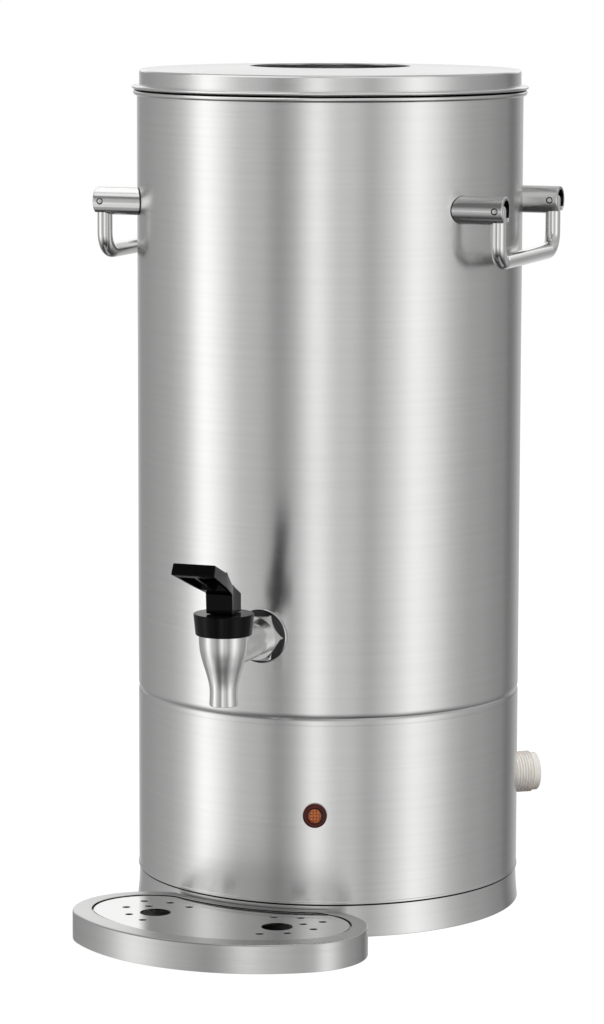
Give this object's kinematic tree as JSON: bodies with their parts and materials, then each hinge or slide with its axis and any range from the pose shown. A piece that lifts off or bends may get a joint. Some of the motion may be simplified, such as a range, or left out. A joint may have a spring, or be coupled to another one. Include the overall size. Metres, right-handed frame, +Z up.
{
  "type": "hot water urn",
  "caption": "Cylindrical steel hot water urn on a plinth, with self-closing tap, folding bail handles, lift-off lid with filling hole, pilot lamp, water inlet and a curved drip tray.",
  "frame": {"origin": "centre of the base plate's underside, on the surface the urn stands on", "axes": "+Z up, the tap towards -Y, a handle on +X and one on -X"},
  "size_m": [0.266, 0.3702, 0.5246],
  "materials": {
    "body_steel": "satin grain round the body",
    "satin_steel": "satin",
    "drip_plate_steel": "bright, nearly mirror",
    "polished_steel": "polished",
    "base_plate_steel": "mill finish",
    "fitting_steel": "mill finish",
    "tap_steel": "satin with turning marks",
    "nut_brass": "machined",
    "black_gloss": "glossy",
    "stem_steel": "turned",
    "seal_rubber": "silicone",
    "hose_rubber": "matt",
    "lamp_black": "matt",
    "lamp_red": "glossy",
    "lamp_amber": "ribbed translucent",
    "nut_black": "matt",
    "inlet_white": "off-white moulded",
    "strainer_blue": "moulded mesh",
    "coil_black": "matt",
    "probe_ceramic": "drawn rod",
    "control_dark": "phenolic",
    "relay_case": "matt",
    "terminal_cream": "moulded",
    "gland_black": "matt nylon"
  },
  "bodies": {
    "urn": {"tank_shell": "body_steel", "base_skirt": "body_steel", "plinth_ring": "satin_steel", "base_plate": "base_plate_steel", "base_screws": "fitting_steel", "tap_body": "tap_steel", "tap_washer": "tap_steel", "tap_nut": "tap_steel", "tap_seal": "seal_rubber", "tap_lock_nut": "nut_brass", "tap_bonnet": "black_gloss", "lamp_housing": "lamp_black", "lamp_bezel": "lamp_red", "lamp_lens": "lamp_amber", "lamp_nut": "nut_black", "inlet_valve": "inlet_white", "inlet_strainer": "strainer_blue", "inlet_coil": "coil_black", "inlet_hose": "hose_rubber", "inlet_fitting": "fitting_steel", "heating_element": "fitting_steel", "level_probe": "probe_ceramic", "thermostat": "control_dark", "boil_dry_cutout": "control_dark", "level_relay": "relay_case", "terminal_block": "terminal_cream", "earth_stud": "fitting_steel", "mains_gland": "gland_black", "gland_nut": "nut_black", "handle_stub_right_front": "satin_steel", "handle_stub_right_rear": "satin_steel", "handle_stub_left_front": "satin_steel", "handle_stub_left_rear": "satin_steel", "handle_pins": "polished_steel", "element_nuts": "nut_brass", "probe_nut": "nut_brass"},
    "lid": {"lid": "body_steel"},
    "bail_right": {"bail_right": "polished_steel"},
    "bail_left": {"bail_left": "polished_steel"},
    "valve": {"valve_stem": "stem_steel", "lever_pin": "stem_steel", "seat_cup": "seal_rubber", "valve_spring": "stem_steel"},
    "lever": {"tap_lever": "black_gloss"},
    "tray": {"drip_tray": "satin_steel"},
    "plate": {"drip_plate": "drip_plate_steel"}
  },
  "joints": [
    {"name": "lid_lift", "type": "slide", "parent": "urn", "child": "lid", "axis": [0, 0, 1], "range_m": [0, 0.05]},
    {"name": "bail_right_swing", "type": "hinge", "parent": "urn", "child": "bail_right", "pos_m": [0.128, 0, 0.4413], "axis": [0, -1, 0], "range_deg": [0, 90]},
    {"name": "bail_left_swing", "type": "hinge", "parent": "urn", "child": "bail_left", "pos_m": [-0.128, 0, 0.4413], "axis": [0, 1, 0], "range_deg": [0, 90]},
    {"name": "stem_lift", "type": "slide", "parent": "urn", "child": "valve", "axis": [0, 0, 1], "range_m": [0, 0.0026], "deforming": ["valve_spring"]},
    {"name": "lever_tilt", "type": "hinge", "parent": "valve", "child": "lever", "pos_m": [0, -0.1824, 0.218], "axis": [1, 0, 0], "range_deg": [0, 25], "stiffness_Nm_per_rad": 0.5, "springref_deg": -28.65},
    {"name": "tray_slide", "type": "slide", "parent": "urn", "child": "tray", "axis": [-0.0906, -0.9959, 0], "range_m": [0, 0.1]},
    {"name": "plate_lift", "type": "slide", "parent": "tray", "child": "plate", "axis": [0, 0, 1], "range_m": [0, 0.03]}
  ],
  "couplings": [
    {"joint": "stem_lift", "follows": "lever_tilt", "m_per_rad": 0.0059}
  ]
}
